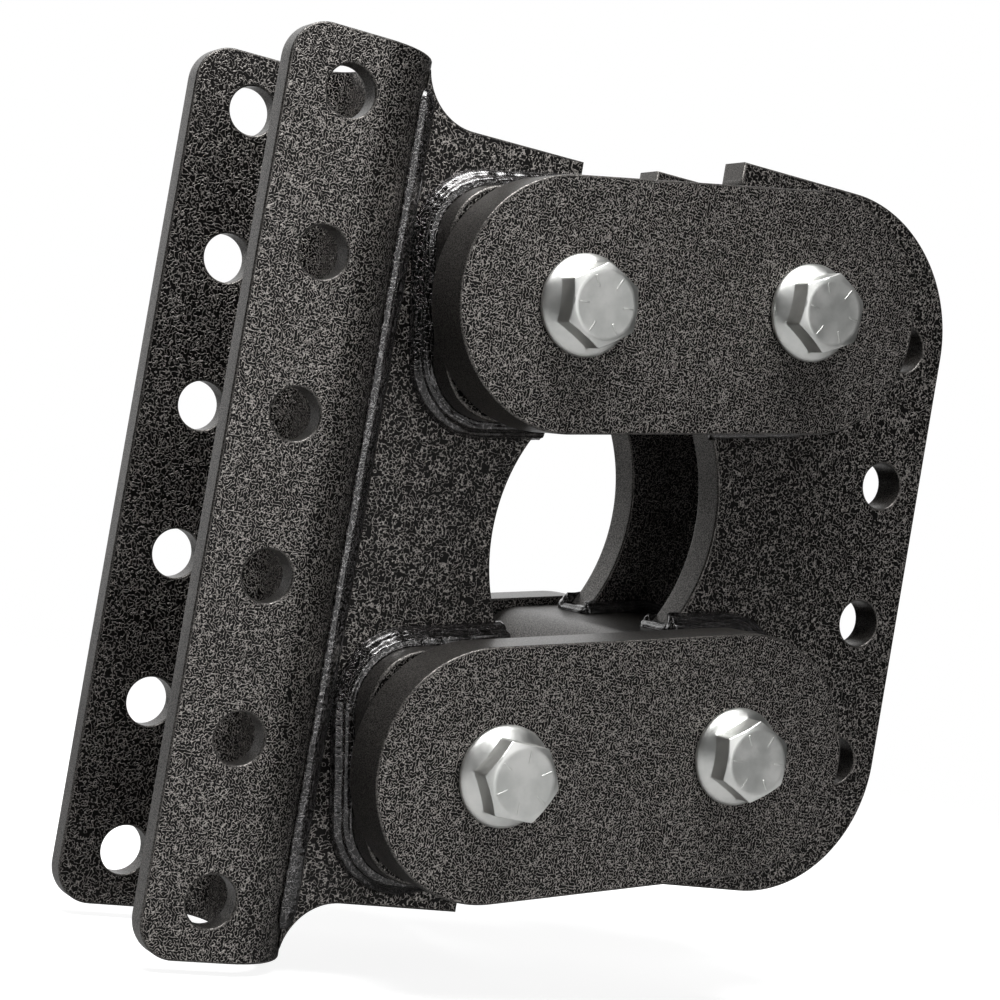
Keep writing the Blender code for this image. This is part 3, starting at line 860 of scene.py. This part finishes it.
def vein_coat(name, roughness, gloss, silver, uses_wall):
    """Silver-vein powder coat: a dark glossy base under a raised mesh of silver worms."""
    nodes = Nodes(name)
    place = nodes.add("ShaderNodeTexCoord").outputs["Object"]
    field = nodes.noise(place, VEIN_SCALE, detail=0.5, roughness=0.4)
    distance = nodes.math("ABSOLUTE", nodes.math("SUBTRACT", field, 0.5))
    veins = nodes.remap(distance, 0.07, 0.025)
    flakes = nodes.noise(place, VEIN_SCALE * 2.3, detail=2.0)
    sparkle = nodes.remap(flakes, 0.3, 0.72)
    bright = nodes.mix(sparkle, COAT_DULL, silver)
    color = nodes.mix(veins, COAT_DARK, bright)
    height = veins
    if uses_wall:
        wall = nodes.add("ShaderNodeAttribute", attribute_name="wall").outputs["Fac"]
        wall_color = nodes.mix(nodes.remap(flakes, 0.36, 0.66), COAT_WALL_DARK, COAT_WALL)
        color = nodes.mix(wall, color, wall_color)
        height = nodes.math("MULTIPLY", veins, nodes.remap(wall, 0.0, 1.0, 1.0, 0.2))
    nodes.set(nodes.shader, "Base Color", color)
    nodes.shader.inputs["Metallic"].default_value = 0.75
    nodes.shader.inputs["Roughness"].default_value = roughness
    nodes.shader.inputs["Coat Weight"].default_value = gloss
    nodes.shader.inputs["Coat Roughness"].default_value = 0.07
    ripple = nodes.noise(place, 60.0, detail=3.0)
    low = nodes.bump(ripple, 0.0006, 0.25)
    normal = nodes.add("ShaderNodeBump", {"Height": height, "Distance": 0.00012, "Strength": 0.8,
                                          "Normal": low}).outputs["Normal"]
    nodes.set(nodes.shader, "Normal", normal)
    return nodes.material


def zinc_plate():
    nodes = Nodes("zinc_plate")
    place = nodes.add("ShaderNodeTexCoord").outputs["Object"]
    cloud = nodes.noise(place, 90.0, detail=4.0, roughness=0.6)
    grain = nodes.noise(place, 1400.0, detail=2.0)
    color = nodes.mix(nodes.remap(cloud, 0.3, 0.7), (0.60, 0.61, 0.59, 1.0),
                      (0.74, 0.74, 0.72, 1.0))
    rough = nodes.remap(cloud, 0.25, 0.75, 0.34, 0.46)
    nodes.set(nodes.shader, "Base Color", color)
    nodes.set(nodes.shader, "Roughness", rough)
    nodes.shader.inputs["Metallic"].default_value = 1.0
    nodes.set(nodes.shader, "Normal", nodes.bump(grain, 0.00003, 0.35))
    return nodes.material


def bare_steel():
    nodes = Nodes("bare_steel")
    place = nodes.add("ShaderNodeTexCoord").outputs["Object"]
    stretched = nodes.add("ShaderNodeMapping", {"Vector": place, "Scale": (1.0, 0.05, 1.0)})
    drawn = nodes.noise(stretched.outputs["Vector"], 900.0, detail=3.0)
    color = nodes.mix(nodes.remap(drawn, 0.3, 0.7), (0.16, 0.16, 0.165, 1.0),
                      (0.33, 0.33, 0.335, 1.0))
    nodes.set(nodes.shader, "Base Color", color)
    nodes.shader.inputs["Metallic"].default_value = 0.9
    nodes.shader.inputs["Roughness"].default_value = 0.42
    nodes.set(nodes.shader, "Normal", nodes.bump(drawn, 0.00004, 0.4))
    return nodes.material


def cord_rubber():
    nodes = Nodes("cord_rubber")
    place = nodes.add("ShaderNodeTexCoord").outputs["Object"]
    bloom = nodes.noise(place, 160.0, detail=4.0)
    color = nodes.mix(nodes.remap(bloom, 0.35, 0.75), (0.010, 0.010, 0.010, 1.0),
                      (0.034, 0.033, 0.032, 1.0))
    nodes.set(nodes.shader, "Base Color", color)
    nodes.shader.inputs["Roughness"].default_value = 0.72
    nodes.set(nodes.shader, "Normal", nodes.bump(nodes.noise(place, 700.0), 0.00008, 0.5))
    return nodes.material


# ------------------------------------------------------------ studio

FLOOR_Z = CAD_BOX[0][2] - 4.2 * MM   # just below the trailer frame at its lowest pose
FLOOR_RADIUS = 1.6
FLOOR_FADE_START = 0.22              # distance from the floor's middle where it starts to fade
FLOOR_FADE_END = 1.1
FLOOR_GLOW = 0.86                    # lifts the floor to near white where the camera sees it


def floor_material():
    """A pale matte floor that fades into the white surroundings away from the part."""
    nodes = Nodes("pale_floor")
    place = nodes.add("ShaderNodeTexCoord").outputs["Object"]
    distance = nodes.add("ShaderNodeVectorMath", {0: place}, operation="LENGTH").outputs["Value"]
    mottle = nodes.noise(place, 14.0, detail=3.0)
    color = nodes.mix(mottle, (0.42, 0.42, 0.42, 1.0), (0.46, 0.46, 0.46, 1.0))
    nodes.set(nodes.shader, "Base Color", color)
    nodes.shader.inputs["Roughness"].default_value = 0.9
    nodes.shader.inputs["Specular IOR Level"].default_value = 0.1
    nodes.set(nodes.shader, "Alpha", nodes.remap(distance, FLOOR_FADE_START, FLOOR_FADE_END,
                                             1.0, 0.0))
    nodes.shader.inputs["Emission Color"].default_value = (1.0, 1.0, 1.0, 1.0)
    seen = nodes.add("ShaderNodeLightPath").outputs["Is Camera Ray"]
    nodes.set(nodes.shader, "Emission Strength", nodes.math("MULTIPLY", seen, FLOOR_GLOW))
    return nodes.material


def make_floor():
    mesh = bpy.data.meshes.new("floor")
    work = bmesh.new()
    bmesh.ops.create_circle(work, cap_ends=True, segments=96, radius=FLOOR_RADIUS)
    work.to_mesh(mesh)
    work.free()
    mesh.materials.append(floor_material())
    floor = bpy.data.objects.new("floor", mesh)
    floor.location = (0.09, 0.0, FLOOR_Z)
    floor.visible_diffuse = False
    bpy.context.scene.collection.objects.link(floor)


def add_area_light(name, place, aim, size, power):
    data = bpy.data.lights.new(name, "AREA")
    data.shape = "RECTANGLE"
    data.size, data.size_y = size
    data.energy = power
    light = bpy.data.objects.new(name, data)
    light.location = place
    light.rotation_euler = (Vector(aim) - Vector(place)).to_track_quat("-Z", "Y").to_euler()
    bpy.context.scene.collection.objects.link(light)


def make_world():
    world = bpy.data.worlds.new("studio")
    world.use_nodes = True
    tree = world.node_tree
    shader = tree.nodes["Background"]
    shader.inputs["Color"].default_value = (1.0, 1.0, 1.0, 1.0)
    shader.inputs["Strength"].default_value = 0.035
    white = tree.nodes.new("ShaderNodeBackground")
    white.inputs["Color"].default_value = (1.0, 1.0, 1.0, 1.0)
    white.inputs["Strength"].default_value = 1.0
    path = tree.nodes.new("ShaderNodeLightPath")
    mix = tree.nodes.new("ShaderNodeMixShader")
    tree.links.new(path.outputs["Is Camera Ray"], mix.inputs["Fac"])
    tree.links.new(shader.outputs["Background"], mix.inputs[1])
    tree.links.new(white.outputs["Background"], mix.inputs[2])
    tree.links.new(mix.outputs["Shader"], tree.nodes["World Output"].inputs["Surface"])
    bpy.context.scene.world = world


def make_lights():
    add_area_light("front_light", (0.18, -1.55, 0.38), (0.02, 0.0, 0.03), (1.2, 1.4), 8.0)
    add_area_light("top_light", (-0.15, -0.25, 1.05), (0.04, 0.0, 0.0), (1.0, 0.6), 26.0)
    add_area_light("back_light", (0.2, 1.6, 0.5), (0.05, 0.0, 0.0), (2.4, 1.6), 15.0)


CAMERA_PLACE = (-0.31145, -0.67504, -0.00073)
CAMERA_RIGHT = Vector((0.85469, -0.49083, 0.16911))
CAMERA_UP = Vector((-0.15442, 0.07064, 0.98548))
CAMERA_LENS = 80.51


def make_camera():
    """The photograph's viewpoint; the part leans in it, so the camera is rolled."""
    back = CAMERA_RIGHT.cross(CAMERA_UP)
    rotation = Matrix((CAMERA_RIGHT, CAMERA_UP, back)).transposed()
    data = bpy.data.cameras.new("camera")
    data.lens = CAMERA_LENS
    data.sensor_width = 36.0
    data.clip_start = 0.01
    camera = bpy.data.objects.new("camera", data)
    camera.matrix_world = Matrix.Translation(CAMERA_PLACE) @ rotation.to_4x4()
    bpy.context.scene.collection.objects.link(camera)
    bpy.context.scene.camera = camera


# ------------------------------------------------------------ assembly

paint = vein_coat("silver_vein_coat", 0.36, 0.0, COAT_SILVER, True)
weld_paint = vein_coat("weld_coat", 0.2, 0.8, COAT_WELD, False)
plating = zinc_plate()

make_camera()
make_channel(paint)
coupler_seams = make_plates("coupler", coupler_plate_outline(), "channel_frame", [], paint)
trailer_holes = [circle((PIVOTS["trailer", "upper"].x + TRAILER_HOLE_X, LINK_STEP.z + z),
                        HOLE_RADIUS)[::-1] for z in hole_column(TRAILER_HOLE_ROWS)]
trailer_seams = make_plates("trailer", trailer_plate_outline(), "trailer_frame",
                            trailer_holes, paint)
make_tubes("coupler", "channel_frame", paint)
make_tubes("trailer", "trailer_frame", paint)
for link_level in LEVELS:
    make_links(link_level, paint)
make_tube_welds(coupler_seams, "coupler", "channel_frame", weld_paint)
make_tube_welds(trailer_seams, "trailer", "trailer_frame", weld_paint)
make_web_welds(weld_paint)
make_bolts(plating)

carried = {"core_bar": bare_steel(), "rubber_cord": cord_rubber()}
for node_name, node_object in frame["nodes"].items():
    for prefix, node_material in carried.items():
        if node_name.startswith(prefix):
            node_object.data.materials.clear()
            node_object.data.materials.append(node_material)

make_floor()
make_world()
make_lights()
bpy.context.scene.view_settings.view_transform = "Standard"
